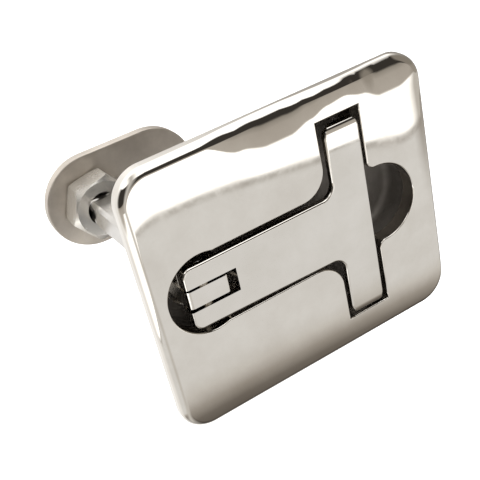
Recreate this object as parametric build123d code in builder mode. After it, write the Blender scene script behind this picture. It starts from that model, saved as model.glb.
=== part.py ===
"""Flush lift and turn handle latch with a T-shaped handle, a square spindle and a flat cam.

X runs from the spindle towards the crossbar, Y runs back into the door and Z is up.
The origin is the middle of the four mounting studs, on the outer skin of the door.
Heights are counted from that skin towards the person who opens the door, so what is
inside the door has a negative height. All sizes are in millimetres.
"""
from build123d import *
from math import cos, radians, sin, sqrt, tan
import os

os.makedirs("parts", exist_ok=True)

# Face plate
plate_length = 82.5
plate_height = 72.0
plate_thickness = 4.0
plate_corner = 8.0
plate_edge_round = 2.0
least_edge_share = 0.8      # the edge round takes at most this share of the wall beside it
spindle_inset = 14.5        # from the short edge of the plate to the spindle axis
cutout_rise = 0.75          # the cut-out sits this much above the middle of the plate
lip_round = 0.35            # softened front edge of the cut-out

# T-shaped cut-out
stem_slot_width = 19.5
round_end_extra = 0.55      # radius of the round end beyond half the width of the stem slot
bar_slot_width = 12.3
bar_slot_inset = 19.7       # from the crossbar slot to the far edge of the plate
bar_slot_margin = 8.2       # from the ends of the crossbar slot to the long edges, on average
slot_inner_fillet = 7.0
finger_radius = 10.3
finger_offset = 2.1         # centre of the finger hole beyond the crossbar slot
finger_blend = 2.0

# T-handle
bar_gap = 1.25              # between the crossbar and the cut-out
stem_gap = 1.0              # between the stem and the cut-out, at the crossbar
handle_proud = 0.45
handle_side_depth = 1.0     # upright part of the side, counted down from the plate's face
handle_bevel = 2.8          # underside bevel at 45 degrees, which lets the handle swing out
corner_over_bevel = 0.2     # the corners are rounded by the bevel and this much more
handle_inner_fillet = 3.5
handle_edge_round = 0.5
bar_end_round = 2.2         # upper edge of both ends of the crossbar
handle_lean = 0.7           # degrees that the handle droops within its gap at rest
stem_flare = 0.45           # the stem is this much narrower, each side, at the fork
knuckle_reach = 5.35        # from the pin to the end of the prongs
knuckle_stop = 4.2          # the deep part of the fork ends here, on the stem side
knuckle_wall = 1.05         # below the pin
knuckle_corner = 2.2
knuckle_under_round = 2.3
fork_side_gap = 0.8         # between the tongue and each prong
fork_end_gap = 1.35         # between the swung tongue corner and the end of the fork slot

# Pivot pin
pin_radius = 1.75
pin_depth = 2.6             # pin axis below the plate's face
pin_clearance = 0.05
pin_end_gap = 0.15
pin_end_chamfer = 0.3

# Spindle
thread_radius = 5.0         # journal, and the turned and threaded corners of the square
square_side = 8.0
tongue_thickness = 4.6
tongue_near = 5.35
tongue_far = 5.85
tongue_corner = 1.2
tongue_sink = 0.2           # below the face of the handle
fork_swing_gap = 0.6        # between the swung prongs and the collar
collar_lip = 2.0
collar_thickness = 1.2
collar_gap = 0.05
running_clearance = 0.05
seal_groove_depth = 1.1
seal_groove_width = 1.5
seal_groove_start = 2.6     # from the collar to the near side of the groove
seal_clearance = 0.04
ring_groove_depth = 0.4
journal_tail = 0.8
tail_past_nut = 4.0
tail_chamfer = 0.8

# Pan behind the cut-out
pan_margin = 1.2            # the pocket is this much wider than the cut-out
pan_wall = 1.0
pan_floor_round = 2.2
pan_corner_extra = 0.6      # the corners are rounded by the floor round and this much more
blend_least = 0.5

# Barrel and bush
bush_wall = 0.95
bush_flange_lip = 1.0
bush_flange = 1.0
bush_length = 6.0
spigot_wall = 1.2
chamber_space = 2.0         # round the journal, for the spring
chamber_length = 6.6
barrel_wall = 1.2
barrel_chamfer = 0.5

# Spring, its washers and the retaining ring
washer_play = 0.2           # between the spring's washers and the chamber wall
seat_washer_thickness = 0.8
spring_wire_radius = 0.5
spring_coils = 2.75
spring_end_gap = 0.1
thrust_washer_thickness = 1.0
thrust_washer_lift = 0.2    # between the end of the barrel and the thrust washer
ring_thickness = 1.0
ring_lip = 1.2
ring_gap = 3.6
ring_eye_radius = 1.5
ring_eye_inset = 0.4
ring_eye_hole = 0.7

# Cam and the nuts that clamp it
cam_depth = 68.5            # from the plate's face to the near side of the cam
cam_thickness = 3.0
cam_radius = 14.0
cam_centres = 19.0
cam_edge_round = 0.4
cam_hole_clearance = 0.1
nut_across_flats = 17.0
front_nut_height = 8.0
rear_nut_height = 5.0
nut_turn = 9.7              # degrees that the front nut stands round from a corner along X
nut_chamfer_angle = 30.0
nut_face_share = 0.95       # flat face of a nut as a share of its width
lock_washer_radius = 9.0
lock_washer_thickness = 2.2
lock_washer_slit = 1.5
washer_clearance = 0.25

# Door skin, gasket and mounting studs
door_skin = 2.5
gasket_thickness = 1.5
gasket_inset = 0.8
gasket_pan_gap = 0.3
gasket_stud_gap = 1.3
stud_radius = 2.5           # threaded part
stud_shank_extra = 0.2      # the plain shank is thicker by this
stud_shank_recess = 0.3     # the shank ends this much short of the inside of the door skin
stud_tail = 3.2             # past the nut
stud_end_chamfer = 0.6
stud_bar_gap = 3.25         # from the pan at the crossbar to the stud washers beside it
stud_inset = 12.0           # from the long edges of the plate
stud_washer_radius = 5.0
stud_washer_thickness = 1.0
stud_lock_radius = 4.4
stud_lock_thickness = 1.3
stud_lock_slit = 0.9
stud_nut_across_flats = 8.0
stud_nut_height = 4.0

# Outlines that follow from the sizes above, with the spindle axis as their zero
spindle_x = spindle_inset - plate_length / 2
spindle_z = cutout_rise
round_end_radius = stem_slot_width / 2 + round_end_extra
bar_far = plate_length - spindle_inset - bar_slot_inset
bar_slot_reach = bar_far - bar_slot_width
bar_mid = bar_far - bar_slot_width / 2
bar_slot_length = plate_height - 2 * bar_slot_margin
finger_reach = bar_far + finger_offset
stem_width = stem_slot_width - 2 * stem_gap
fork_width = stem_width - 2 * stem_flare
fork_slot_width = tongue_thickness + 2 * fork_side_gap
bar_width = bar_slot_width - 2 * bar_gap
bar_length = bar_slot_length - 2 * bar_gap
handle_corner = handle_bevel + corner_over_bevel
pan_corner = pan_floor_round + pan_corner_extra
near_wall = spindle_inset - round_end_radius
far_wall = plate_length - spindle_inset - finger_reach - finger_radius
side_wall = bar_slot_margin - cutout_rise
edge_round = min(plate_edge_round, least_edge_share * min(near_wall, far_wall, side_wall, plate_thickness))

# Radii on the spindle axis
journal_radius = thread_radius
collar_radius = journal_radius + collar_lip
seal_groove_radius = journal_radius - seal_groove_depth
ring_groove_radius = journal_radius - ring_groove_depth
bush_radius = journal_radius + running_clearance + bush_wall
bush_flange_radius = bush_radius + bush_flange_lip
spigot_radius = bush_radius + spigot_wall
chamber_radius = journal_radius + chamber_space
barrel_radius = chamber_radius + barrel_wall
spring_washer_radius = chamber_radius - washer_play
ring_radius = journal_radius + ring_lip
seal_wire_radius = (journal_radius + running_clearance - seal_clearance - seal_groove_radius) / 2

# Heights, from the front to the back
face = gasket_thickness + plate_thickness
handle_top = face + handle_proud
bevel_top = face - handle_side_depth
pin_height = face - pin_depth
knuckle_depth = pin_depth + pin_radius + knuckle_wall
tongue_top = handle_top - tongue_sink
fork_slot_reach = sqrt(tongue_far**2 + (tongue_top - pin_height) ** 2) + fork_end_gap
fork_swing = sqrt(knuckle_reach**2 + (handle_top - pin_height) ** 2)
collar_front = pin_height - fork_swing - fork_swing_gap
collar_back = collar_front - collar_thickness
bush_front = collar_back - collar_gap
pan_floor = bush_front - bush_flange
pan_outside = pan_floor - pan_wall
bush_end = pan_floor - bush_length
barrel_end = bush_end - chamber_length
seat_washer_back = bush_end - seat_washer_thickness
thrust_washer_front = barrel_end - thrust_washer_lift
ring_front = thrust_washer_front - thrust_washer_thickness
ring_back = ring_front - ring_thickness
journal_end = ring_back - journal_tail
seal_groove_front = collar_back - seal_groove_start
cam_front = face - cam_depth
cam_back = cam_front - cam_thickness
lock_washer_back = cam_back - lock_washer_thickness
rear_nut_back = lock_washer_back - rear_nut_height
tail_end = rear_nut_back - tail_past_nut

# Studs, in the corners of the plate and clear of the pan
stud_x = spindle_x + bar_far + pan_margin + pan_wall + stud_bar_gap + stud_washer_radius
stud_z = plate_height / 2 - stud_inset
stud_shank_radius = stud_radius + stud_shank_extra
stud_shank_end = stud_shank_recess - door_skin
stud_places = [(side * stud_x, level * stud_z) for side in (-1, 1) for level in (-1, 1)]
stud_washer_back = -door_skin - stud_washer_thickness
stud_lock_back = stud_washer_back - stud_lock_thickness
stud_nut_back = stud_lock_back - stud_nut_height
stud_tip = stud_nut_back - stud_tail

# The door's skin, the cut-out on the spindle axis, and the same for all that turns, which
# leans with the handle
door = Plane.XZ
axis = Plane(origin=(spindle_x, 0, spindle_z), x_dir=(1, 0, 0), z_dir=(0, -1, 0))
turned = Plane(
    origin=(spindle_x, 0, spindle_z),
    x_dir=(cos(radians(handle_lean)), 0, -sin(radians(handle_lean))),
    z_dir=(0, -1, 0),
)


def pair(vertices, x, y):
    """Vertices of a flat outline at the given distance along X, above and below its middle."""
    return [v for v in vertices if abs(v.X - x) < 0.01 and abs(abs(v.Y) - y) < 0.01]


def cutout_outline(grow=0.0, corner=0.0):
    """Flat outline of the T-shaped cut-out, made larger by grow, with the outer corners rounded."""
    finger = finger_radius + grow
    far = bar_far + grow
    finger_join = sqrt(finger**2 - (finger_reach - far) ** 2)
    half_length = bar_slot_length / 2 + grow
    with BuildSketch(Plane.XY) as outline:
        Circle(round_end_radius + grow)
        with Locations((bar_mid / 2, 0)):
            Rectangle(bar_mid, stem_slot_width + 2 * grow)
        with Locations((bar_mid, 0)):
            Rectangle(bar_slot_width + 2 * grow, bar_slot_length + 2 * grow)
        with Locations((finger_reach, 0)):
            Circle(finger)
        inner = pair(outline.vertices(), bar_slot_reach - grow, stem_slot_width / 2 + grow)
        fillet(inner, slot_inner_fillet - grow)
        fillet(pair(outline.vertices(), far, finger_join), max(finger_blend - grow, blend_least))
        if corner > 0:
            outer = pair(outline.vertices(), bar_slot_reach - grow, half_length)
            fillet(outer + pair(outline.vertices(), far, half_length), corner)
    return outline.sketch


def handle_outline():
    """Flat outline of the stem and the crossbar, from the pin to the far end."""
    near_half = fork_width / 2
    far_half = stem_width / 2
    bar_near = bar_mid - bar_width / 2
    with BuildSketch(Plane.XY) as outline:
        with BuildLine():
            Polyline(
                (0, near_half),
                (bar_near, far_half),
                (bar_mid, far_half),
                (bar_mid, -far_half),
                (bar_near, -far_half),
                (0, -near_half),
                close=True,
            )
        make_face()
        with Locations((bar_mid, 0)):
            Rectangle(bar_width, bar_length)
        fillet(pair(outline.vertices(), bar_near, far_half), handle_inner_fillet)
        fillet(pair(outline.vertices(), bar_near, bar_length / 2), handle_corner)
        fillet(pair(outline.vertices(), bar_mid + bar_width / 2, bar_length / 2), handle_corner)
    return outline.sketch


def nut_body(across_flats, height, hole_radius, turn=0.0):
    """Hexagon nut with both ends chamfered, standing on the XY plane."""
    face_radius = nut_face_share * across_flats / 2
    corner_radius = across_flats / sqrt(3) + 1
    drop = (corner_radius - face_radius) * tan(radians(nut_chamfer_angle))
    with BuildPart(mode=Mode.PRIVATE) as nut:
        with BuildSketch(Plane.XY):
            RegularPolygon(across_flats / 2, 6, major_radius=False, rotation=turn)
            Circle(hole_radius, mode=Mode.SUBTRACT)
        extrude(amount=height)
        with BuildSketch(Plane.XZ):
            with BuildLine():
                Polyline(
                    (0, 0),
                    (face_radius, 0),
                    (corner_radius, drop),
                    (corner_radius, height - drop),
                    (face_radius, height),
                    (0, height),
                    close=True,
                )
            make_face()
        revolve(axis=Axis.Z, mode=Mode.INTERSECT)
    return nut.part


# Face plate: a thick polished plate with rounded edges and the T-shaped cut-out
with BuildPart() as face_plate:
    with BuildSketch(door.offset(gasket_thickness)):
        RectangleRounded(plate_length, plate_height, plate_corner)
        with Locations((spindle_x, spindle_z)):
            add(cutout_outline(), mode=Mode.SUBTRACT)
    extrude(amount=plate_thickness)
    fillet(face_plate.faces().sort_by(Axis.Y)[0].outer_wire().edges(), edge_round)
    fillet(face_plate.faces().sort_by(Axis.Y)[0].inner_wires()[0].edges(), lip_round)
face_plate.part.label = "face_plate"
export_step(face_plate.part, "parts/face_plate.step")

# Recess pan: a drawn cup welded behind the cut-out, with a hole for the barrel
with BuildPart() as recess_pan:
    with BuildSketch(axis.offset(pan_outside)):
        add(cutout_outline(pan_margin + pan_wall, pan_corner + pan_wall))
    extrude(amount=gasket_thickness - pan_outside)
    fillet(recess_pan.faces().sort_by(Axis.Y)[-1].edges(), pan_floor_round + pan_wall)
    with BuildPart(mode=Mode.PRIVATE) as pocket:
        with BuildSketch(axis.offset(pan_floor)):
            add(cutout_outline(pan_margin, pan_corner))
        extrude(amount=gasket_thickness - pan_floor)
        fillet(pocket.faces().sort_by(Axis.Y)[-1].edges(), pan_floor_round)
    add(pocket.part, mode=Mode.SUBTRACT)
    with BuildSketch(axis.offset(pan_outside)):
        Circle(spigot_radius)
    extrude(amount=pan_wall, mode=Mode.SUBTRACT)
recess_pan.part.label = "recess_pan"
export_step(recess_pan.part, "parts/recess_pan.step")

# Guide barrel: turned tube welded to the pan, with a chamber for the spring
with BuildPart() as guide_barrel:
    with BuildSketch(axis.offset(barrel_end)):
        Circle(barrel_radius)
    extrude(amount=pan_outside - barrel_end)
    chamfer(guide_barrel.faces().sort_by(Axis.Y)[-1].edges(), barrel_chamfer)
    with BuildSketch(axis.offset(pan_outside)):
        Circle(spigot_radius)
    extrude(amount=pan_wall)
    with BuildSketch(axis.offset(bush_end)):
        Circle(bush_radius)
    extrude(amount=bush_length, mode=Mode.SUBTRACT)
    with BuildSketch(axis.offset(barrel_end)):
        Circle(chamber_radius)
    extrude(amount=chamber_length, mode=Mode.SUBTRACT)
guide_barrel.part.label = "guide_barrel"
export_step(guide_barrel.part, "parts/guide_barrel.step")

# Spindle bush: flanged plastic liner that the collar bears on
with BuildPart() as spindle_bush:
    with BuildSketch(axis.offset(bush_end)):
        Circle(bush_radius)
    extrude(amount=bush_length)
    with BuildSketch(axis.offset(pan_floor)):
        Circle(bush_flange_radius)
    extrude(amount=bush_flange)
    with BuildSketch(axis.offset(bush_end)):
        Circle(journal_radius + running_clearance)
    extrude(amount=bush_length + bush_flange, mode=Mode.SUBTRACT)
spindle_bush.part.label = "spindle_bush"
export_step(spindle_bush.part, "parts/spindle_bush.step")

# Flange gasket: soft sheet between the plate and the door, round the pan
with BuildPart() as flange_gasket:
    with BuildSketch(door):
        RectangleRounded(
            plate_length - 2 * gasket_inset,
            plate_height - 2 * gasket_inset,
            plate_corner - gasket_inset,
        )
        with Locations((spindle_x, spindle_z)):
            pan_size = pan_margin + pan_wall + gasket_pan_gap
            add(cutout_outline(pan_size, pan_corner + pan_wall), mode=Mode.SUBTRACT)
        with Locations(*stud_places):
            Circle(stud_shank_radius + gasket_stud_gap, mode=Mode.SUBTRACT)
    extrude(amount=gasket_thickness)
flange_gasket.part.label = "flange_gasket"
export_step(flange_gasket.part, "parts/flange_gasket.step")

# Mounting studs: welded to the back of the plate, with a plain shank through the door skin
with BuildPart() as mounting_studs:
    with BuildSketch(door.offset(stud_tip)):
        with Locations(*stud_places):
            Circle(stud_radius)
    extrude(amount=stud_shank_end - stud_tip)
    stud_tips = mounting_studs.faces().sort_by(Axis.Y)[-len(stud_places):]
    chamfer([tip.edges()[0] for tip in stud_tips], stud_end_chamfer)
    with BuildSketch(door.offset(stud_shank_end)):
        with Locations(*stud_places):
            Circle(stud_shank_radius)
    extrude(amount=gasket_thickness - stud_shank_end)
mounting_studs.part.label = "mounting_studs"
export_step(mounting_studs.part, "parts/mounting_studs.step")

# Plain washers of the studs, on the inside of the door skin
with BuildPart() as stud_washers:
    with BuildSketch(door.offset(stud_washer_back)):
        with Locations(*stud_places):
            Circle(stud_washer_radius)
            Circle(stud_radius + washer_clearance, mode=Mode.SUBTRACT)
    extrude(amount=stud_washer_thickness)
stud_washers.part.label = "stud_washers"
export_step(stud_washers.part, "parts/stud_washers.step")

# Split lock washers of the studs
with BuildPart() as stud_lock_washers:
    with BuildSketch(door.offset(stud_lock_back)):
        with Locations(*stud_places):
            Circle(stud_lock_radius)
            Circle(stud_radius + washer_clearance, mode=Mode.SUBTRACT)
        with Locations(*[(x + stud_lock_radius / 2, z) for x, z in stud_places]):
            Rectangle(stud_lock_radius + stud_radius, stud_lock_slit, mode=Mode.SUBTRACT)
    extrude(amount=stud_lock_thickness)
stud_lock_washers.part.label = "stud_lock_washers"
export_step(stud_lock_washers.part, "parts/stud_lock_washers.step")

# Nuts of the studs
stud_nut = nut_body(stud_nut_across_flats, stud_nut_height, stud_radius)
with BuildPart() as stud_nuts:
    with Locations(door.offset(stud_nut_back)):
        with Locations(*stud_places):
            add(stud_nut)
stud_nuts.part.label = "stud_nuts"
export_step(stud_nuts.part, "parts/stud_nuts.step")

# T-handle: crossbar, stem and forked knuckle, bevelled below so that it swings out of the slot
with BuildPart() as t_handle:
    with BuildPart(mode=Mode.PRIVATE) as blank:
        with BuildSketch(Plane.XY.offset(bevel_top - handle_bevel)):
            add(handle_outline())
        extrude(amount=handle_top - bevel_top + handle_bevel)
        chamfer(blank.faces().sort_by(Axis.Z)[0].edges(), handle_bevel)
        with BuildPart(mode=Mode.PRIVATE) as knuckle:
            with BuildSketch(Plane.XY.offset(face - knuckle_depth)):
                with Locations(((knuckle_stop - knuckle_reach) / 2, 0)):
                    Rectangle(knuckle_reach + knuckle_stop, fork_width)
            extrude(amount=handle_top - face + knuckle_depth)
            fillet(knuckle.faces().sort_by(Axis.X)[0].edges().filter_by(Axis.Z), knuckle_corner)
            under = knuckle.faces().sort_by(Axis.Z)[0].edges()
            fillet(under.filter_by(Axis.Y).sort_by(Axis.X)[0], knuckle_under_round)
        add(knuckle.part)
        fillet(blank.faces().sort_by(Axis.Z)[-1].edges(), handle_edge_round)
        with BuildSketch(Plane.YZ.offset(-knuckle_reach)) as end_view:
            with Locations((0, (handle_top + face - knuckle_depth) / 2)):
                Rectangle(bar_length, handle_top - face + knuckle_depth)
            fillet(end_view.vertices().sort_by(Axis.Y)[-2:], bar_end_round)
        extrude(amount=knuckle_reach + bar_far, mode=Mode.INTERSECT)
        with BuildSketch(Plane.XY.offset(handle_top)):
            with Locations(((fork_slot_reach - knuckle_reach) / 2, 0)):
                Rectangle(fork_slot_reach + knuckle_reach, fork_slot_width)
        extrude(amount=face - knuckle_depth - handle_top, mode=Mode.SUBTRACT)
        with BuildSketch(Plane.XZ.offset(-fork_width / 2)):
            with Locations((0, pin_height)):
                Circle(pin_radius)
        extrude(amount=fork_width, mode=Mode.SUBTRACT)
    with Locations(turned):
        add(blank.part)
t_handle.part.label = "t_handle"
export_step(t_handle.part, "parts/t_handle.step")

# Pivot pin: held in both prongs of the fork, free in the tongue
with BuildPart() as pivot_pin:
    with BuildPart(mode=Mode.PRIVATE) as pin_rod:
        with BuildSketch(Plane.XZ.offset(pin_end_gap - fork_width / 2)):
            with Locations((0, pin_height)):
                Circle(pin_radius)
        extrude(amount=fork_width - 2 * pin_end_gap)
        chamfer(pin_rod.edges().filter_by(GeomType.CIRCLE), pin_end_chamfer)
    with Locations(turned):
        add(pin_rod.part)
pivot_pin.part.label = "pivot_pin"
export_step(pivot_pin.part, "parts/pivot_pin.step")

# Spindle: flat tongue, collar, round journal with two grooves and a square threaded tail
with BuildPart() as spindle:
    with BuildPart(mode=Mode.PRIVATE) as shaft:
        with BuildSketch(Plane.XZ.offset(-tongue_thickness / 2)) as tongue:
            with Locations(((tongue_far - tongue_near) / 2, (tongue_top + collar_back) / 2)):
                Rectangle(tongue_near + tongue_far, tongue_top - collar_back)
            fillet(tongue.vertices().sort_by(Axis.Y)[-2:], tongue_corner)
            with Locations((0, pin_height)):
                Circle(pin_radius + pin_clearance, mode=Mode.SUBTRACT)
        extrude(amount=tongue_thickness)
        with BuildSketch(Plane.XZ):
            with BuildLine():
                Polyline(
                    (0, collar_front),
                    (collar_radius, collar_front),
                    (collar_radius, collar_back),
                    (journal_radius, collar_back),
                    (journal_radius, seal_groove_front),
                    (seal_groove_radius, seal_groove_front),
                    (seal_groove_radius, seal_groove_front - seal_groove_width),
                    (journal_radius, seal_groove_front - seal_groove_width),
                    (journal_radius, ring_front),
                    (ring_groove_radius, ring_front),
                    (ring_groove_radius, ring_back),
                    (journal_radius, ring_back),
                    (journal_radius, journal_end),
                    (0, journal_end),
                    close=True,
                )
            make_face()
        revolve(axis=Axis.Z)
        with BuildPart(mode=Mode.PRIVATE) as tail:
            with BuildSketch(Plane.XY.offset(tail_end)):
                Rectangle(square_side, square_side)
            extrude(amount=journal_end - tail_end)
            with BuildSketch(Plane.XY.offset(tail_end)):
                Circle(thread_radius)
            extrude(amount=journal_end - tail_end, mode=Mode.INTERSECT)
            chamfer(tail.faces().sort_by(Axis.Z)[0].edges(), tail_chamfer)
        add(tail.part)
    with Locations(turned):
        add(shaft.part)
spindle.part.label = "spindle"
export_step(spindle.part, "parts/spindle.step")

# O-ring in the groove of the journal, against the bush
with BuildPart() as o_ring:
    with BuildSketch(Plane(origin=(spindle_x, 0, spindle_z), z_dir=(0, 0, 1))):
        seal_middle = seal_groove_front - seal_groove_width / 2
        with Locations((seal_groove_radius + seal_wire_radius, -seal_middle)):
            Circle(seal_wire_radius)
    revolve(axis=Axis((spindle_x, 0, spindle_z), (0, 1, 0)))
o_ring.part.label = "o_ring"
export_step(o_ring.part, "parts/o_ring.step")

# Seat washer: between the end of the bush and the spring
with BuildPart() as seat_washer:
    with BuildSketch(axis.offset(seat_washer_back)):
        Circle(spring_washer_radius)
        Circle(journal_radius + washer_clearance, mode=Mode.SUBTRACT)
    extrude(amount=seat_washer_thickness)
seat_washer.part.label = "seat_washer"
export_step(seat_washer.part, "parts/seat_washer.step")

# Thrust spring: presses the thrust washer and with it the whole spindle into the door
with BuildPart() as thrust_spring:
    spring_radius = (journal_radius + chamber_radius) / 2
    spring_back = thrust_washer_front + spring_wire_radius
    spring_front = seat_washer_back - spring_end_gap - spring_wire_radius
    spring_rise = spring_front - spring_back
    with BuildPart(mode=Mode.PRIVATE) as coil:
        with BuildLine():
            wire_path = Helix(spring_rise / spring_coils, spring_rise, spring_radius)
        with BuildSketch(Plane(origin=wire_path @ 0, z_dir=wire_path % 0)):
            Circle(spring_wire_radius)
        sweep(path=wire_path)
    with Locations(turned.offset(spring_back)):
        add(coil.part)
thrust_spring.part.label = "thrust_spring"
export_step(thrust_spring.part, "parts/thrust_spring.step")

# Thrust washer: carries the spring on the retaining ring
with BuildPart() as thrust_washer:
    with BuildSketch(turned.offset(ring_front)):
        Circle(spring_washer_radius)
        Circle(journal_radius + washer_clearance, mode=Mode.SUBTRACT)
    extrude(amount=thrust_washer_thickness)
thrust_washer.part.label = "thrust_washer"
export_step(thrust_washer.part, "parts/thrust_washer.step")

# Retaining ring: open spring ring with two eyes, in the rear groove of the journal
with BuildPart() as retaining_ring:
    with BuildSketch(turned.offset(ring_back)):
        Circle(ring_radius)
        eye_side = ring_gap / 2 + ring_eye_radius
        eye_reach = sqrt((ring_radius - ring_eye_inset) ** 2 - eye_side**2)
        eye_places = [(eye_reach, side * eye_side) for side in (-1, 1)]
        with Locations(*eye_places):
            Circle(ring_eye_radius)
        Circle(ring_groove_radius, mode=Mode.SUBTRACT)
        with Locations((ring_radius, 0)):
            Rectangle(2 * ring_radius, ring_gap, mode=Mode.SUBTRACT)
        with Locations(*eye_places):
            Circle(ring_eye_hole, mode=Mode.SUBTRACT)
    extrude(amount=ring_thickness)
retaining_ring.part.label = "retaining_ring"
export_step(retaining_ring.part, "parts/retaining_ring.step")

# Front nut of the cam, the one that sets how far back the cam sits
with BuildPart() as cam_front_nut:
    with Locations(turned.offset(cam_front)):
        add(nut_body(nut_across_flats, front_nut_height, thread_radius, nut_turn + 30))
cam_front_nut.part.label = "cam_front_nut"
export_step(cam_front_nut.part, "parts/cam_front_nut.step")

# Cam: flat bar with round ends and a square hole
with BuildPart() as cam:
    with BuildSketch(turned.offset(cam_back)):
        with Locations((cam_centres / 2, 0)):
            SlotCenterToCenter(cam_centres, 2 * cam_radius)
        Rectangle(*[square_side + 2 * cam_hole_clearance] * 2, mode=Mode.SUBTRACT)
    extrude(amount=cam_thickness)
    fillet(cam.faces().sort_by(Axis.Y)[0].outer_wire().edges(), cam_edge_round)
    fillet(cam.faces().sort_by(Axis.Y)[-1].outer_wire().edges(), cam_edge_round)
cam.part.label = "cam"
export_step(cam.part, "parts/cam.step")

# Split lock washer behind the cam
with BuildPart() as cam_lock_washer:
    with BuildSketch(turned.offset(lock_washer_back)):
        Circle(lock_washer_radius)
        Circle(thread_radius + washer_clearance, mode=Mode.SUBTRACT)
        with Locations((lock_washer_radius / 2 + thread_radius / 2, 0)):
            Rectangle(lock_washer_radius, lock_washer_slit, mode=Mode.SUBTRACT)
    extrude(amount=lock_washer_thickness)
cam_lock_washer.part.label = "cam_lock_washer"
export_step(cam_lock_washer.part, "parts/cam_lock_washer.step")

# Rear nut of the cam, a thin one
with BuildPart() as cam_rear_nut:
    with Locations(turned.offset(rear_nut_back)):
        add(nut_body(nut_across_flats, rear_nut_height, thread_radius))
cam_rear_nut.part.label = "cam_rear_nut"
export_step(cam_rear_nut.part, "parts/cam_rear_nut.step")
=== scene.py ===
"""Looks of the flush lift and turn handle latch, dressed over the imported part.

The scene is in metres in the part's own frame: X runs from the spindle to the crossbar,
Y runs back into the door and Z is up. Lengths named below are in millimetres, apart from
those of the floor and the camera.
"""
from math import acos, asin, atan2, cos, degrees, hypot, pi, radians, sin, sqrt, tan

import bmesh
import bpy
from mathutils import Matrix, Vector
from mathutils.geometry import delaunay_2d_cdt


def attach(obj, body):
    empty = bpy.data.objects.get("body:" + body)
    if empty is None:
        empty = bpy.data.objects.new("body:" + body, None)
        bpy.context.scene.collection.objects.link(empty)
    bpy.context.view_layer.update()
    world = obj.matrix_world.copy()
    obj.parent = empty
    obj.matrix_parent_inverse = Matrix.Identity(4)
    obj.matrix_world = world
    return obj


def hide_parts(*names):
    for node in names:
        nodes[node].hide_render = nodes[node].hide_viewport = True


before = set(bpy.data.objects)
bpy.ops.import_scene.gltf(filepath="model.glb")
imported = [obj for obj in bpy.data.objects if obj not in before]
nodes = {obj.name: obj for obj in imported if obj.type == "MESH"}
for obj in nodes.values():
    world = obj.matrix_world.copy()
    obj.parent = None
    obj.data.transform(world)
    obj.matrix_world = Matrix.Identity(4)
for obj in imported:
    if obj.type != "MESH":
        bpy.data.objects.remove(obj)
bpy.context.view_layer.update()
MM = 0.001


def box(name):
    """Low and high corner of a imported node, in millimetres."""
    places = [vertex.co / MM for vertex in nodes[name].data.vertices]
    low = [round(min(place[axis] for place in places), 3) for axis in range(3)]
    high = [round(max(place[axis] for place in places), 3) for axis in range(3)]
    return low, high


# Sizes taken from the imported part: plate, spindle axis (X, Z), barrel, handle, tail, studs and pan
plate_low, plate_high = box("face_plate")
barrel_low, barrel_high = box("guide_barrel")
HALF_X, HALF_Z = plate_high[0], plate_high[2]
FACE_Y, BACK_Y = plate_low[1], plate_high[1]
SPINDLE = ((barrel_low[0] + barrel_high[0]) / 2, (barrel_low[2] + barrel_high[2]) / 2)
BARREL_RADIUS = (barrel_high[0] - barrel_low[0]) / 2
HANDLE_TOP = box("t_handle")[0][1]
TAIL_END = box("spindle")[1][1]
STUD_END = box("mounting_studs")[1][1]
PAN_BACK = box("recess_pan")[1][1]

# Sizes that the part's source has too, and that no box gives
LEAN = radians(0.7)  # droop of the handle within its gap
CORNER, EDGE_ROUND = 8.0, 2.0
HALF_BAR, END_ROUND = 26.55, 2.2
THREAD_RADIUS, SQUARE, TAIL_CHAMFER = 5.0, 8.0, 0.8
STUD_RADIUS = 2.5
STUDS = ((-32, -24), (-32, 24), (32, -24), (32, 24))


# Materials

def new_material(name):
    material = bpy.data.materials.new(name)
    material.use_nodes = True
    tree = material.node_tree
    tree.nodes.clear()
    out = tree.nodes.new("ShaderNodeOutputMaterial")
    shader = tree.nodes.new("ShaderNodeBsdfPrincipled")
    tree.links.new(shader.outputs["BSDF"], out.inputs["Surface"])
    return material, tree, shader


def coordinates(tree, scale=(1, 1, 1)):
    place = tree.nodes.new("ShaderNodeTexCoord")
    mapping = tree.nodes.new("ShaderNodeMapping")
    mapping.inputs["Scale"].default_value = scale
    tree.links.new(place.outputs["Object"], mapping.inputs["Vector"])
    return mapping.outputs["Vector"]


def noise(tree, vector, scale, detail, roughness, distortion=0.0):
    node = tree.nodes.new("ShaderNodeTexNoise")
    node.inputs["Scale"].default_value = scale
    node.inputs["Detail"].default_value = detail
    node.inputs["Roughness"].default_value = roughness
    node.inputs["Distortion"].default_value = distortion
    tree.links.new(vector, node.inputs["Vector"])
    return node.outputs["Fac"]


def spread(tree, value, low, high, start=0.3, end=0.7):
    """The value from start to end as a value from low to high. The defaults suit a noise texture."""
    node = tree.nodes.new("ShaderNodeMapRange")
    node.inputs["From Min"].default_value = start
    node.inputs["From Max"].default_value = end
    node.inputs["To Min"].default_value = low
    node.inputs["To Max"].default_value = high
    tree.links.new(value, node.inputs["Value"])
    return node.outputs["Result"]


def calculated(tree, operation, a, b=None):
    """Result of a math node; b is a socket, a number, or nothing."""
    node = tree.nodes.new("ShaderNodeMath")
    node.operation = operation
    tree.links.new(a, node.inputs[0])
    if isinstance(b, (int, float)):
        node.inputs[1].default_value = b
    elif b is not None:
        tree.links.new(b, node.inputs[1])
    return node.outputs["Value"]


def bump(tree, height, distance, before=None):
    """Normal bent by a height from 0 to 1 that stands for the distance, in millimetres."""
    node = tree.nodes.new("ShaderNodeBump")
    node.inputs["Strength"].default_value = 1.0
    node.inputs["Distance"].default_value = distance * MM
    tree.links.new(height, node.inputs["Height"])
    if before is not None:
        tree.links.new(before, node.inputs["Normal"])
    return node.outputs["Normal"]


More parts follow.
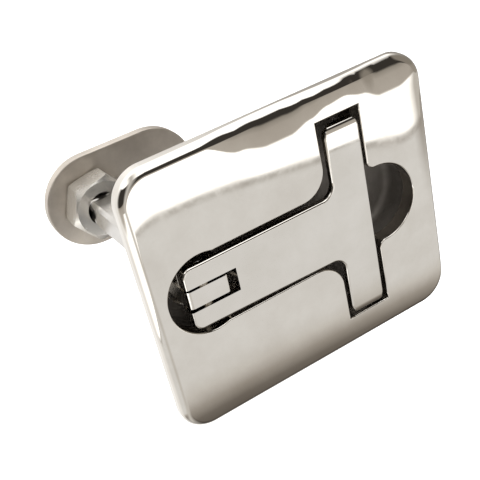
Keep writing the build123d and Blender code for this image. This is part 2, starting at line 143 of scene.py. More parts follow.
def tint(tree, value, dark, light):
    node = tree.nodes.new("ShaderNodeMix")
    node.data_type = "RGBA"
    node.inputs["A"].default_value = (*dark, 1)
    node.inputs["B"].default_value = (*light, 1)
    tree.links.new(value, node.inputs["Factor"])
    return node.outputs["Result"]


# Scales that draw the fine lines of polishing out along an axis, or round Y as turning does
LINE_SCALES = {"X": (0.6, 42, 42), "Y": (42, 0.6, 42), "round": (1.2, 52, 1.2)}
LINE_NOISE = 100
GRAIN_NOISE = 2500
SMEAR_TO_BLOTCH = 3.3


def metal(name, dark, light, rough, wave=0.0, wave_scale=45, lines=0.0, lines_along="X", grain=0.0,
          rough_spread=0.04, blotch=90, metallic=1.0):
    """Metal with a slow wave in its surface, fine lines from polishing or turning, and a fine grain."""
    material, tree, shader = new_material(name)
    here = coordinates(tree)
    shader.inputs["Metallic"].default_value = metallic
    cloud = noise(tree, here, blotch, detail=4, roughness=0.6)
    tree.links.new(tint(tree, spread(tree, cloud, 0, 1), dark, light), shader.inputs["Base Color"])
    smear = noise(tree, here, blotch * SMEAR_TO_BLOTCH, detail=5, roughness=0.65, distortion=0.4)
    roughness = spread(tree, smear, rough - rough_spread, rough + rough_spread)
    tree.links.new(roughness, shader.inputs["Roughness"])
    normal = None
    if wave:
        normal = bump(tree, noise(tree, here, wave_scale, detail=1, roughness=0.35), wave, normal)
    if lines:
        drawn = coordinates(tree, LINE_SCALES[lines_along])
        normal = bump(tree, noise(tree, drawn, LINE_NOISE, detail=3, roughness=0.6), lines, normal)
    if grain:
        normal = bump(tree, noise(tree, here, GRAIN_NOISE, detail=3, roughness=0.7), grain, normal)
    if normal is not None:
        tree.links.new(normal, shader.inputs["Normal"])
    return material


def soften_handle(material):
    """Softens the ends of the crossbar and tilts its face by about a degree, in the shading alone."""
    soft_from, soft_to, soft_depth, soft_power = 16.5, 26.8, 0.22, 2.5
    tilt_reach, tilt_rise = 30, 0.8
    tree = material.node_tree
    shader = tree.nodes["Principled BSDF"]
    before = shader.inputs["Normal"].links[0].from_socket
    place = tree.nodes.new("ShaderNodeTexCoord")
    split = tree.nodes.new("ShaderNodeSeparateXYZ")
    tree.links.new(place.outputs["Object"], split.inputs["Vector"])
    height = split.outputs["Z"]
    away = calculated(tree, "ABSOLUTE", calculated(tree, "SUBTRACT", height, SPINDLE[1] * MM))
    share = spread(tree, away, 0, 1, soft_from * MM, soft_to * MM)
    lowered = spread(tree, calculated(tree, "POWER", share, soft_power), 1, 0, 0, 1)
    ends = bump(tree, lowered, soft_depth, before)
    tilted = bump(tree, spread(tree, height, 0, 1, -tilt_reach * MM, tilt_reach * MM), tilt_rise, ends)
    tree.links.new(tilted, shader.inputs["Normal"])


def plain(name, dark, light, rough, grain, grain_scale, specular=0.5):
    """Moulded plastic or rubber: matt, with a fine texture and slightly uneven colour."""
    cloud_scale, rough_spread = 160, 0.08
    material, tree, shader = new_material(name)
    here = coordinates(tree)
    shader.inputs["Specular IOR Level"].default_value = specular
    cloud = noise(tree, here, cloud_scale, detail=4, roughness=0.6)
    tree.links.new(tint(tree, spread(tree, cloud, 0, 1), dark, light), shader.inputs["Base Color"])
    roughness = spread(tree, cloud, rough - rough_spread, rough + rough_spread)
    tree.links.new(roughness, shader.inputs["Roughness"])
    fine = bump(tree, noise(tree, here, grain_scale, detail=4, roughness=0.7), grain)
    tree.links.new(fine, shader.inputs["Normal"])
    return material


polished = metal("polished_steel", (0.585, 0.55, 0.50), (0.65, 0.62, 0.57), 0.035, wave=0.03,
                 wave_scale=48, lines=0.0001, rough_spread=0.02)
polished_handle = metal("polished_handle_steel", (0.595, 0.565, 0.515), (0.65, 0.62, 0.575), 0.05,
                        wave=0.015, wave_scale=70, lines=0.0001, rough_spread=0.02)
soften_handle(polished_handle)
# Painted shade: the pan's steel is given a far darker colour than the other steel, standing in for the shade
# inside the recess
recess_painted_shade = metal("recess_steel", (0.21, 0.19, 0.17), (0.30, 0.275, 0.25), 0.6, grain=0.006,
               rough_spread=0.1, metallic=0.6)
turned = metal("turned_steel", (0.50, 0.48, 0.45), (0.60, 0.58, 0.55), 0.22, lines=0.002,
               lines_along="round")
fastener = metal("fastener_steel", (0.46, 0.45, 0.43), (0.58, 0.57, 0.55), 0.28, grain=0.004)
spring_wire = metal("spring_steel", (0.30, 0.30, 0.31), (0.42, 0.42, 0.43), 0.25, grain=0.003)
nut_metal = metal("nut_steel", (0.72, 0.69, 0.63), (0.84, 0.81, 0.76), 0.25, lines=0.001,
                  lines_along="Y", grain=0.002, metallic=0.8)
cam_metal = metal("cam_steel", (0.42, 0.375, 0.325), (0.60, 0.545, 0.475), 0.40, lines=0.003,
                  grain=0.005, rough_spread=0.06, metallic=0.75)
weld_metal = metal("weld_steel", (0.30, 0.26, 0.21), (0.55, 0.52, 0.48), 0.3, grain=0.006, blotch=220)
bush = plain("bush_plastic", (0.70, 0.69, 0.64), (0.80, 0.79, 0.74), 0.38, 0.01, 1800)
gasket = plain("gasket_rubber", (0.018, 0.018, 0.019), (0.040, 0.040, 0.041), 0.72, 0.05, 1500, 0.3)
seal = plain("seal_rubber", (0.015, 0.015, 0.015), (0.030, 0.030, 0.030), 0.45, 0.01, 2500, 0.4)

FINISHES = {
    "t_handle": polished_handle, "recess_pan": recess_painted_shade, "guide_barrel": turned, "spindle_bush": bush,
    "flange_gasket": gasket, "stud_washers": fastener, "stud_lock_washers": fastener,
    "stud_nuts": fastener, "seat_washer": fastener, "o_ring": seal, "thrust_spring": spring_wire,
    "thrust_washer": fastener, "retaining_ring": spring_wire, "cam_front_nut": nut_metal,
    "cam": cam_metal, "cam_lock_washer": fastener, "cam_rear_nut": nut_metal, "pivot_pin": turned,
    "face_plate": polished, "spindle": turned, "mounting_studs": turned,
}
for name, finish in FINISHES.items():
    mesh = nodes[name].data
    for index in range(len(mesh.materials)):
        mesh.materials[index] = finish


# Pieces of the scene's own

def finish_piece(obj, material, body, slot, *replaced):
    obj.data.materials.clear()
    obj.data.materials.append(material)
    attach(obj, body)
    if replaced:
        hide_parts(*replaced)


def placed(name, mesh):
    """Object of a mesh, put into the scene."""
    obj = bpy.data.objects.new(name, mesh)
    bpy.context.scene.collection.objects.link(obj)
    return obj


def mesh_object(name, points, faces, normals=None):
    """Object from points in millimetres: with its own normals, or with its faces turned outwards."""
    mesh = bpy.data.meshes.new(name)
    mesh.from_pydata([(x * MM, y * MM, z * MM) for x, y, z in points], [], faces)
    mesh.update()
    if normals is None:
        bm = bmesh.new()
        bm.from_mesh(mesh)
        bmesh.ops.recalc_face_normals(bm, faces=bm.faces[:])
        bm.to_mesh(mesh)
        bm.free()
    for polygon in mesh.polygons:
        polygon.use_smooth = True
    if normals is not None:
        mesh.normals_split_custom_set_from_vertices(normals)
    return placed(name, mesh)


def smooth_step(x):
    x = min(1.0, max(0.0, x))
    return x * x * (3 - 2 * x)


def ring_quads(rows, around):
    """Faces between rows of points that each go once round."""
    faces = []
    for j in range(rows):
        start = j * around
        for i in range(around):
            k = (i + 1) % around
            faces.append((start + i, start + k, start + around + k, start + around + i))
    return faces


def end_caps(rows, around):
    """Faces that close the last and the first row of points."""
    return [tuple(rows * around + i for i in range(around)), tuple(reversed(range(around)))]


# Outlines of the plate and its cut-out, as points (X, Z) with normals

def arc(centre, radius, start, end, count, outward=1.0):
    """Points and normals along an arc; angles in degrees."""
    made = []
    for i in range(count + 1):
        a = radians(start + (end - start) * i / count)
        made.append(((centre[0] + radius * cos(a), centre[1] + radius * sin(a)),
                     (outward * cos(a), outward * sin(a))))
    return made


def straight(start, end, normal, count):
    """Points between two corners, without the corners themselves."""
    made = []
    for i in range(1, count):
        t = i / count
        made.append(((start[0] + (end[0] - start[0]) * t, start[1] + (end[1] - start[1]) * t), normal))
    return made


def plate_loop():
    """Outline of the plate, anticlockwise: feet that stand a corner's radius inwards, with normals."""
    corner_steps, side_steps = 24, 44
    cx, cz = HALF_X - CORNER, HALF_Z - CORNER
    corners = ((1, 1), (-1, 1), (-1, -1), (1, -1))
    made = []
    for k, (sx, sz) in enumerate(corners):
        for i in range(corner_steps + 1):
            a = radians(90 * k + 90 * i / corner_steps)
            made.append(((sx * cx, sz * cz), (cos(a), sin(a))))
        nx, nz = corners[(k + 1) % 4]
        a = radians(90 * (k + 1))
        made += straight((sx * cx, sz * cz), (nx * cx, nz * cz), (cos(a), sin(a)), side_steps)
    return made


def cutout_loop():
    """Outline of the T-shaped cut-out, anticlockwise from its round end: point, normal into the metal."""
    half, round_end = 9.75, 10.3
    near, far, reach = 36.0, 48.3, 27.8
    fillet, finger, finger_u, blend = 7.0, 10.3, 50.4, 2.0
    u_join = sqrt(round_end**2 - half**2)
    join = degrees(atan2(half, u_join))
    blend_v = sqrt((finger + blend) ** 2 - (finger_u - far - blend) ** 2)
    turn = degrees(acos((far + blend - finger_u) / (finger + blend)))
    lower = []
    lower += arc((0, 0), round_end, 180, 360 - join, 40)[:-1]
    lower += [((u_join, -half), (0.2, -0.98))]
    lower += straight((u_join, -half), (near - fillet, -half), (0, -1), 16)
    lower += arc((near - fillet, -half - fillet), fillet, 90, 0, 18, -1.0)
    lower += straight((near, -half - fillet), (near, -reach), (-1, 0), 8)
    lower += [((near, -reach), (-1, -1))]
    lower += straight((near, -reach), (far, -reach), (0, -1), 8)
    lower += [((far, -reach), (1, -1))]
    lower += straight((far, -reach), (far, -blend_v), (1, 0), 10)
    lower += arc((far + blend, -blend_v), blend, 180, turn, 8, -1.0)
    lower += arc((finger_u, 0), finger, -turn, 0, 30)[1:]
    upper = [((u, -v), (nu, -nv)) for (u, v), (nu, nv) in reversed(lower[1:-1])]
    return [((u + SPINDLE[0], v + SPINDLE[1]), normal) for (u, v), normal in lower + upper]


# Face plate: its edges are softened unevenly by polishing, more in some places than in others

# Width of the softened band along the top edge, from left to right: place along X, width
TOP_BAND = [(-41, 1.5), (-30, 2.0), (-20, 2.6), (-11, 9.6), (-4, 12.6), (2, 12.6), (8, 9.6), (13, 7.0),
            (18, 6.2), (23, 8.4), (28, 12.4), (33, 12.4), (41, 9.0)]
TOP_DROP = 0.1  # at the edge itself, as a share of the band's width
BOTTOM_BAND, BOTTOM_DROP = 17, 1.1
LEFT_BAND, LEFT_DROP = 8, 0.22
RIGHT_BAND, RIGHT_DROP = 9, 0.45
LIP = 0.35  # round of the cut-out's edge
EDGE_STEPS, LIP_STEPS = 14, 5
FACE_GRID = 1.0


def along(table, x):
    """Smooth value between the places of a table."""
    if x <= table[0][0]:
        return table[0][1]
    for (a, va), (b, vb) in zip(table, table[1:]):
        if x <= b:
            return va + (vb - va) * smooth_step((x - a) / (b - a))
    return table[-1][1]


def drop(inwards, band, depth):
    """How far the face lies down at a distance inwards from an edge."""
    return depth * max(0.0, 1 - inwards / band) ** 3


def crown(x, z):
    """How far polishing has taken the face down, growing towards the edges."""
    band = along(TOP_BAND, x)
    return (drop(HALF_Z - z, band, TOP_DROP * band) + drop(HALF_Z + z, BOTTOM_BAND, BOTTOM_DROP)
            + drop(HALF_X + x, LEFT_BAND, LEFT_DROP) + drop(HALF_X - x, RIGHT_BAND, RIGHT_DROP))


def crown_slope(x, z, step=0.05):
    across = crown(x + step, z) - crown(x - step, z)
    upwards = crown(x, z + step) - crown(x, z - step)
    return across / (2 * step), upwards / (2 * step)


def inside(p, loop):
    """Whether the point lies in the closed outline."""
    odd = False
    for a, b in zip(loop, loop[1:] + loop[:1]):
        if (a.y > p.y) != (b.y > p.y) and p.x < (b.x - a.x) * (p.y - a.y) / (b.y - a.y) + a.x:
            odd = not odd
    return odd


def grid_points(taken, step):
    """Points of a square grid within the plate's flat face that keep clear of the points taken."""
    cell, rim, clear = 2, EDGE_ROUND + 0.4, 0.45 * step
    cells = {}
    for p in taken:
        cells.setdefault((int(p.x // cell), int(p.y // cell)), []).append(p)
    columns, rows = int(HALF_X / step), int(HALF_Z / step)
    made = []
    for i in range(-columns, columns + 1):
        for j in range(-rows, rows + 1):
            p = Vector((i * step, j * step))
            if abs(p.x) > HALF_X - rim or abs(p.y) > HALF_Z - rim:
                continue
            near = [q for a in (-1, 0, 1) for b in (-1, 0, 1)
                    for q in cells.get((int(p.x // cell) + a, int(p.y // cell) + b), ())]
            if all((p - q).length >= clear for q in near):
                made.append(p)
    return made


def build_plate():
    points, normals, faces = [], [], []

    def put(x, y, z, normal):
        points.append((x, y, z))
        normals.append(Vector(normal).normalized())
        return len(points) - 1

    def on_face(x, z):
        gx, gz = crown_slope(x, z)
        return put(x, FACE_Y + crown(x, z), z, (gx, -1, gz))

    def join_rings(rings, flip):
        for a, b in zip(rings, rings[1:]):
            for i in range(len(a)):
                j = (i + 1) % len(a)
                quad = (a[i], a[j], b[j], b[i])
                faces.append(quad[::-1] if flip else quad)

    def down_to_back(ring, normal=None):
        """Copy of a ring on the back face, with its own normals or the one given."""
        return [put(points[i][0], BACK_Y, points[i][2], normal or normals[i]) for i in ring]

    def fill(outer_ring, inner_ring, step, flip, make):
        """Faces between two rings, with a grid of points made in between where a step is given."""
        known = outer_ring + inner_ring
        flat = [Vector((points[i][0], points[i][2])) for i in known]
        rim, hole = flat[:len(outer_ring)], flat[len(outer_ring):]
        edges = [(i, (i + 1) % len(rim)) for i in range(len(rim))]
        edges += [(len(rim) + i, len(rim) + (i + 1) % len(hole)) for i in range(len(hole))]
        added = grid_points(flat, step) if step else []
        coords, _, triangles, sources, _, _ = delaunay_2d_cdt(flat + added, edges, [], 0, 1e-7)
        index = []
        for p, source in zip(coords, sources):
            found = next((known[s] for s in source if s < len(known)), None)
            index.append(make(p.x, p.y) if found is None else found)
        for triangle in triangles:
            middle = sum((coords[i] for i in triangle), Vector((0, 0))) / 3
            if inside(middle, rim) and not inside(middle, hole):
                found = tuple(index[i] for i in triangle)
                faces.append(found[::-1] if flip else found)

    # Outer edge: rings from the flat face round to the side wall
    rings = []
    for k in range(EDGE_STEPS + 1):
        angle = radians(90 * k / EDGE_STEPS)
        reach = CORNER - EDGE_ROUND * (1 - sin(angle))
        ring = []
        for (cx, cz), (nx, nz) in plate_loop():
            x, z = cx + reach * nx, cz + reach * nz
            gx, gz = crown_slope(x, z)
            y = FACE_Y + EDGE_ROUND * (1 - cos(angle)) + crown(x, z)
            normal = (sin(angle) * nx + cos(angle) * gx, -cos(angle), sin(angle) * nz + cos(angle) * gz)
            ring.append(put(x, min(y, BACK_Y), z, normal))
        rings.append(ring)
    rings.append(down_to_back(rings[-1]))
    join_rings(rings, True)

    # Lip and wall of the cut-out
    lip = []
    for k in range(LIP_STEPS + 1):
        angle = radians(90 * k / LIP_STEPS)
        grow = LIP * (1 - sin(angle))
        ring = []
        for (u, v), (nu, nv) in cutout_loop():
            x, z = u + grow * nu, v + grow * nv
            gx, gz = crown_slope(x, z)
            length = hypot(nu, nv)
            normal = (-sin(angle) * nu / length + cos(angle) * gx, -cos(angle),
                      -sin(angle) * nv / length + cos(angle) * gz)
            ring.append(put(x, FACE_Y + LIP * (1 - cos(angle)) + crown(x, z), z, normal))
        lip.append(ring)
    lip.append(down_to_back(lip[-1]))
    join_rings(lip, False)

    # Front face, with a grid fine enough for its slopes, and the flat back face
    fill(rings[0], lip[0], FACE_GRID, False, on_face)
    backwards = (0, 1, 0)
    fill(down_to_back(rings[-1], backwards), down_to_back(lip[-1], backwards), 0, True,
         lambda x, z: put(x, BACK_Y, z, backwards))
    return mesh_object("polished_face_plate", points, faces, normals)


finish_piece(build_plate(), polished, "housing", "polished_steel", "face_plate")


# Threads and turned shapes

def thread_radius(phase, major, depth):
    """Radius of a rolled thread at a phase from 0 to 1: flat crest, straight flanks, rounded root."""
    root, flank, hollow = 0.14, 0.72, 0.8
    t = abs((phase % 1.0) - 0.5) * 2
    rise = min(1.0, max(0.0, (t - root) / flank))
    return major - depth + depth * smooth_step(rise) ** hollow


def threaded_bar(centre, start, end, major, pitch, depth, square=None, turn=0.0, chamfer=0.6, around=72,
                 steps=9):
    """Points and faces of a threaded bar along Y, optionally with the sides of a square cut on it."""
    points = []
    rows = int((end - start) / pitch * steps)
    for j in range(rows + 1):
        y = start + (end - start) * j / rows
        for i in range(around):
            a = 2 * pi * i / around
            r = thread_radius(y / pitch + a / (2 * pi), major, depth)
            r = min(r, major - chamfer + (end - y))
            if square:
                b = a - turn
                r = min(r, square / 2 / max(abs(cos(b)), abs(sin(b))))
            points.append((centre[0] + r * cos(a), y, centre[1] + r * sin(a)))
    return points, ring_quads(rows, around) + end_caps(rows, around)


def turned_shape(centre, profile, around=48):
    """Turned shape along Y out of (y, radius) pairs, closed at both ends."""
    points = []
    for y, r in profile:
        for i in range(around):
            a = 2 * pi * i / around
            points.append((centre[0] + r * cos(a), y, centre[1] + r * sin(a)))
    rows = len(profile) - 1
    return points, ring_quads(rows, around) + end_caps(rows, around)


def cut_copy(node, y_cut, name):
    """Copy of a CAD node's mesh with all that lies behind y_cut taken off and the cut closed."""
    bm = bmesh.new()
    bm.from_mesh(nodes[node].data)
    geometry = bm.verts[:] + bm.edges[:] + bm.faces[:]
    cut = bmesh.ops.bisect_plane(bm, geom=geometry, plane_co=(0, y_cut * MM, 0), plane_no=(0, 1, 0),
                                 clear_outer=True)
    corners = [part for part in cut["geom_cut"] if isinstance(part, bmesh.types.BMVert)]
    bmesh.ops.remove_doubles(bm, verts=corners, dist=0.001 * MM)
    rim = [edge for edge in bm.edges if all(abs(v.co.y / MM - y_cut) < 0.0001 for v in edge.verts)]
    bmesh.ops.holes_fill(bm, edges=rim, sides=0)
    mesh = bpy.data.meshes.new(name)
    bm.to_mesh(mesh)
    bm.free()
    return placed(name, mesh)


def joined(name, *objects):
    """One object out of several."""
    bm = bmesh.new()
    for obj in objects:
        bm.from_mesh(obj.data)
    mesh = bpy.data.meshes.new(name)
    bm.to_mesh(mesh)
    bm.free()
    for obj in objects:
        bpy.data.objects.remove(obj)
    return placed(name, mesh)


def crease(obj, angle):
    """Smooth faces with sharp edges where they meet more steeply than the angle, in degrees."""
    for polygon in obj.data.polygons:
        polygon.use_smooth = True
    obj.data.set_sharp_from_angle(angle=radians(angle))
    return obj


def build_spindle():
    """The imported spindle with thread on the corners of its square, from in front of the nuts to the end."""
    thread_start, pitch, depth = 53.5, 1.5, 0.92
    shaft = cut_copy("spindle", thread_start, "shaft_front")
    points, faces = threaded_bar(SPINDLE, thread_start, TAIL_END, THREAD_RADIUS, pitch, depth,
                                 square=SQUARE, turn=-LEAN, chamfer=TAIL_CHAMFER, around=128, steps=10)
    spindle = crease(joined("square_spindle", shaft, mesh_object("shaft_tail", points, faces)), 32)
    finish_piece(spindle, turned, "turning", "turned_steel", "spindle")

    # The tongue in front is polished with the handle
    spindle.data.materials.append(polished_handle)
    for polygon in spindle.data.polygons:
        if polygon.center.y < 0.0:
            polygon.material_index = 1


def build_front_nut():
    """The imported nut, turned to the photograph's angle, a twelfth of a turn round from the solid one."""
    mesh = nodes["cam_front_nut"].data.copy()
    to_axis = Matrix.Translation((SPINDLE[0] * MM, 0, SPINDLE[1] * MM))
    mesh.transform(to_axis @ Matrix.Rotation(radians(30), 4, "Y") @ to_axis.inverted())
    finish_piece(placed("hex_nut_front", mesh), nut_metal, "turning", "nut_steel", "cam_front_nut")


build_spindle()
build_front_nut()


# Handle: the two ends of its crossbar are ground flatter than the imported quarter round

END_START = HALF_BAR - END_ROUND
ALONG_BAR = Vector((sin(LEAN), 0, cos(LEAN)))


def from_middle(place):
    """Distance along the crossbar from its middle."""
    return abs((place / MM - Vector((SPINDLE[0], 0, SPINDLE[1]))).dot(ALONG_BAR))


def ground(angle):
    """Steepness of the ground end where the quarter round has the angle, both in degrees."""
    flat_until, turn_over, flatness = 30, 22, 0.28
    knee, knee_steepness = 50, 64
    steep = knee_steepness + (angle - knee) * (90 - knee_steepness) / (90 - knee)
    share = smooth_step((angle - flat_until) / turn_over)
    return (1 - share) * flatness * angle + share * steep


def ground_depths():
    """Depth of the ground end below the top at every whole degree of the quarter round."""
    depth, table = 0.0, [0.0]
    for angle in range(1, 90):
        middle = angle - 0.5
        depth += END_ROUND * cos(radians(middle)) * tan(radians(ground(middle))) * radians(1)
        table.append(depth)
    return table + [depth]


def ground_normal(normal):
    """A normal of the quarter round as it stands on the ground end."""
    lengthwise = normal.dot(ALONG_BAR)
    crosswise = normal.x - lengthwise * ALONG_BAR.x
    faces_along = normal.y < 0 and abs(crosswise) < 0.2 and abs(lengthwise) > 0.02
    if not faces_along:
        return normal
    tilt = radians(ground(degrees(atan2(abs(lengthwise), -normal.y))))
    side = 1 if lengthwise > 0 else -1
    return (Vector((crosswise, -cos(tilt), 0)) + ALONG_BAR * sin(tilt) * side).normalized()


def build_handle():
    start_margin, fade_depth, fade_end = 0.05, 0.7, 1.3
    mesh = nodes["t_handle"].data.copy()
    normals = []
    for corner, loop in zip(mesh.corner_normals, mesh.loops):
        at_end = from_middle(mesh.vertices[loop.vertex_index].co) > END_START - start_margin
        normal = Vector(corner.vector)
        normals.append(ground_normal(normal) if at_end else normal)

    # Each point moves from the quarter round to the ground end; points deeper in the end wall stay
    depths = ground_depths()
    for vertex in mesh.vertices:
        away = from_middle(vertex.co) - END_START
        if away > 0:
            angle = degrees(asin(min(1.0, away / END_ROUND)))
            low = min(int(angle), 89)
            ground_to = depths[low] + (depths[low + 1] - depths[low]) * (angle - low)
            was = END_ROUND * (1 - cos(radians(angle)))
            below = vertex.co.y / MM - HANDLE_TOP - was
            vertex.co.y += MM * (ground_to - was) * smooth_step((fade_end - below) / fade_depth)
    mesh.normals_split_custom_set(normals)
    finish_piece(placed("polished_t_handle", mesh), polished_handle, "handle", "polished_steel", "t_handle")


build_handle()


# Studs and the weld of the barrel

# Shank of a stud with its weld fillet, from the plate's back: place along Y, radius
STUD_SHANK = [(-1.5, 3.7), (-1.35, 3.5), (-1.15, 3.05), (-0.9, 2.8), (-0.6, 2.7), (2.0, 2.7), (2.2, 2.45)]


def build_studs():
    pitch, depth = 0.8, 0.48
    parts = []
    for k, centre in enumerate(STUDS):
        points, faces = threaded_bar(centre, STUD_SHANK[-1][0], STUD_END, STUD_RADIUS, pitch, depth,
                                     around=48, steps=8)
        parts.append(mesh_object(f"stud_thread_{k}", points, faces))
        points, faces = turned_shape(centre, STUD_SHANK)
        parts.append(mesh_object(f"stud_shank_{k}", points, faces))
    studs = crease(joined("threaded_studs", *parts), 35)
    finish_piece(studs, turned, "housing", "turned_steel", "mounting_studs")


def build_weld():
    """Bead of weld round the barrel on the pan, lapped like a row of coins."""
    overlap_in, size, flatness, beads = 0.05, 1.2, 0.9, 34
    inner = BARREL_RADIUS - overlap_in
    per_bead, section = 8, 12
    around = beads * per_bead
    points = []
    for i in range(around):
        a = 2 * pi * i / around
        lap = (i % per_bead) / per_bead
        swell = size * (0.86 + 0.14 * (1 - lap) + 0.05 * sin(5 * a) + 0.04 * sin(11 * a + 1))
        turns = [pi / 2 * j / section for j in range(section + 1)]
        profile = [(inner + swell * sin(b), PAN_BACK + swell * cos(b) * flatness) for b in turns]
        for r, y in profile + [(inner, PAN_BACK)]:
            points.append((SPINDLE[0] + r * cos(a), y, SPINDLE[1] + r * sin(a)))
    row = section + 2
    faces = []
    for i in range(around):
        k = (i + 1) % around
        for j in range(row):
            n = (j + 1) % row
            faces.append((i * row + j, k * row + j, k * row + n, i * row + n))
    weld = crease(mesh_object("barrel_weld_bead", points, faces), 50)
    finish_piece(weld, weld_metal, "housing", "turned_steel")


build_studs()
build_weld()


# Stage

def stage_floor():
    side, height = 12, -0.32
    bpy.ops.mesh.primitive_plane_add(size=side, location=(0, 0, height))
    floor = bpy.context.object
    floor.name = "floor"
    material, tree, shader = new_material("pale_floor")
    shader.inputs["Base Color"].default_value = (0.9, 0.9, 0.9, 1)
    shader.inputs["Roughness"].default_value = 0.9
    shader.inputs["Emission Color"].default_value = (1, 1, 1, 1)
    shader.inputs["Emission Strength"].default_value = 0.35
    floor.data.materials.append(material)
    floor.visible_glossy = False


stage_floor()


# Studio, which the polished steel mirrors. A direction's height runs from -1, down, to 1, up.
# Tones by height: on the pale table in front of the plate, in the room above it, and behind the door
STRENGTH = 2.5
TABLE = [
    (-1.00, (0.10, 0.09, 0.08)), (-0.90, (0.13, 0.115, 0.10)), (-0.80, (0.24, 0.215, 0.19)),
    (-0.73, (0.50, 0.465, 0.425)), (-0.665, (0.86, 0.84, 0.81)), (-0.620, (1.0, 1.0, 1.0)),
    (1.0, (1.02, 1.015, 1.01)),
]
ROOM = [
    (-1.0, (2.3, 2.3, 2.3)), (-0.385, (2.2, 2.2, 2.2)), (-0.370, (0.66, 0.62, 0.57)),
    (-0.20, (0.60, 0.56, 0.51)), (-0.12, (0.42, 0.39, 0.35)), (-0.09, (0.055, 0.05, 0.045)),
    (1.0, (0.055, 0.05, 0.045)),
]
BEHIND = [
    (-1.00, (0.12, 0.11, 0.10)), (-0.60, (0.26, 0.24, 0.22)), (-0.10, (0.34, 0.32, 0.30)),
    (0.20, (0.45, 0.43, 0.40)), (0.45, (0.75, 0.73, 0.71)), (0.60, (2.0, 2.0, 2.0)), (1.0, (2.2, 2.2, 2.2)),
]
BRINK_TONE = (0.62, 0.60, 0.57)     # thin line along the table's far edge
OVERHEAD_TONE = (2.2, 2.2, 2.2)
WINDOW_TONE = (1.9, 1.9, 1.9)       # behind the door, but not on its far right
LEFT_TONE = (0.80, 0.78, 0.75)
FAR_RIGHT_TONE = (0.42, 0.385, 0.34)

# Heights are counted lower towards the right, so the table's edge rises that way
HEIGHT_TILT = -0.1


def tones(tree, height, stops):
    """Colours by height; each stop is a height and a colour."""
    ramp = tree.nodes.new("ShaderNodeValToRGB")
    elements = ramp.color_ramp.elements
    while len(elements) > 1:
        elements.remove(elements[-1])
    for i, (level, colour) in enumerate(stops):
        element = elements[0] if i == 0 else elements.new((level + 1) / 2)
        element.position = (level + 1) / 2
        element.color = (*(c / STRENGTH for c in colour), 1)
    tree.links.new(height, ramp.inputs["Fac"])
    return ramp.outputs["Color"]


def plus_share(tree, a, b, share):
    """a plus a share of b, of two sockets."""
    node = tree.nodes.new("ShaderNodeMath")
    node.operation = "MULTIPLY_ADD"
    node.inputs[1].default_value = share
    tree.links.new(b, node.inputs[0])
    tree.links.new(a, node.inputs[2])
    return node.outputs["Value"]


def fade(tree, value, start, end, amount=1):
    """Grows from 0 to the amount as the value goes from start to end."""
    return spread(tree, value, 0, amount, start, end)


def overlap(tree, *shares):
    """Product of several shares."""
    result = shares[0]
    for share in shares[1:]:
        result = calculated(tree, "MULTIPLY", result, share)
    return result


def blended(tree, share, a, b):
    """From a to b by the share; each is a socket or a colour."""
    node = tree.nodes.new("ShaderNodeMix")
    node.data_type = "RGBA"
    tree.links.new(share, node.inputs["Factor"])
    for name, value in (("A", a), ("B", b)):
        if isinstance(value, tuple):
            node.inputs[name].default_value = (*(c / STRENGTH for c in value), 1)
        else:
            tree.links.new(value, node.inputs[name])
    return node.outputs["Result"]


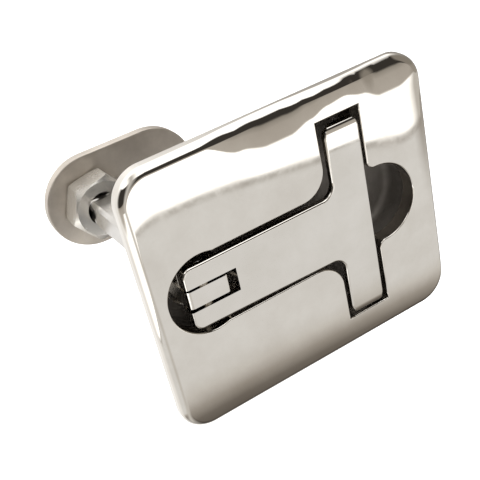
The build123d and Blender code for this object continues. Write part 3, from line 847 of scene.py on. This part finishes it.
def studio_colour(tree):
    """Colour of the studio by direction, as the steel mirrors it."""
    place = tree.nodes.new("ShaderNodeTexCoord")
    split = tree.nodes.new("ShaderNodeSeparateXYZ")
    tree.links.new(place.outputs["Generated"], split.inputs["Vector"])
    x, y, z = (split.outputs[axis] for axis in "XYZ")
    tilted = plus_share(tree, z, x, HEIGHT_TILT)
    height = spread(tree, tilted, 0, 1, -1, 1)

    brink = overlap(tree, fade(tree, tilted, -0.4935, -0.4900, 0.85), fade(tree, tilted, -0.4850, -0.4880))
    table = blended(tree, brink, tones(tree, height, TABLE), BRINK_TONE)
    colour = blended(tree, fade(tree, tilted, -0.4860, -0.4830), table, tones(tree, height, ROOM))

    overhead = overlap(tree, fade(tree, plus_share(tree, z, x, -1.0), 0.27, 0.36),
                       fade(tree, z, 0.52, 0.60))
    colour = blended(tree, overhead, colour, OVERHEAD_TONE)

    window = fade(tree, x, 0.45, 0.28, 0.6)
    behind = blended(tree, window, tones(tree, height, BEHIND), WINDOW_TONE)
    colour = blended(tree, fade(tree, y, -0.05, 0.35), colour, behind)

    left = overlap(tree, fade(tree, x, 0.08, -0.25), fade(tree, x, -0.6, -0.35), fade(tree, y, 0.25, -0.15))
    colour = blended(tree, left, colour, LEFT_TONE)

    far_right = overlap(tree, fade(tree, x, 0.59, 0.66, 0.8), fade(tree, y, 0.5, 0.0),
                        fade(tree, z, -0.50, -0.42))
    return blended(tree, far_right, colour, FAR_RIGHT_TONE)


def studio():
    """World that lights the scene and shows plain white to the camera."""
    world = bpy.data.worlds.new("studio")
    bpy.context.scene.world = world
    world.use_nodes = True
    tree = world.node_tree
    tree.nodes.clear()
    out = tree.nodes.new("ShaderNodeOutputWorld")
    glow = tree.nodes.new("ShaderNodeBackground")
    glow.inputs["Strength"].default_value = STRENGTH
    tree.links.new(studio_colour(tree), glow.inputs["Color"])
    white = tree.nodes.new("ShaderNodeBackground")
    white.inputs["Color"].default_value = (1, 1, 1, 1)
    pick = tree.nodes.new("ShaderNodeMixShader")
    path = tree.nodes.new("ShaderNodeLightPath")
    tree.links.new(path.outputs["Is Camera Ray"], pick.inputs["Fac"])
    tree.links.new(glow.outputs["Background"], pick.inputs[1])
    tree.links.new(white.outputs["Background"], pick.inputs[2])
    tree.links.new(pick.outputs["Shader"], out.inputs["Surface"])


studio()
bpy.context.scene.view_settings.view_transform = "Standard"
bpy.context.scene.view_settings.look = "None"


# Camera, solved from the straight edges in the photograph: place in metres, and its axes

CAMERA_PLACE = (-0.09052, -0.17227, 0.11544)
CAMERA_RIGHT = (0.8365, -0.5066, -0.2090)
CAMERA_BACK = (-0.3533, -0.7900, 0.5010)


def add_camera():
    data = bpy.data.cameras.new("camera")
    data.lens = 69.28
    data.sensor_width = 36
    data.clip_start = 0.01
    data.clip_end = 20
    camera = placed("camera", data)
    right = Vector(CAMERA_RIGHT).normalized()
    back = Vector(CAMERA_BACK).normalized()
    up = back.cross(right).normalized()
    right = up.cross(back)
    camera.matrix_world = Matrix((
        (right.x, up.x, back.x, CAMERA_PLACE[0]),
        (right.y, up.y, back.y, CAMERA_PLACE[1]),
        (right.z, up.z, back.z, CAMERA_PLACE[2]),
        (0, 0, 0, 1),
    ))
    bpy.context.scene.camera = camera


add_camera()
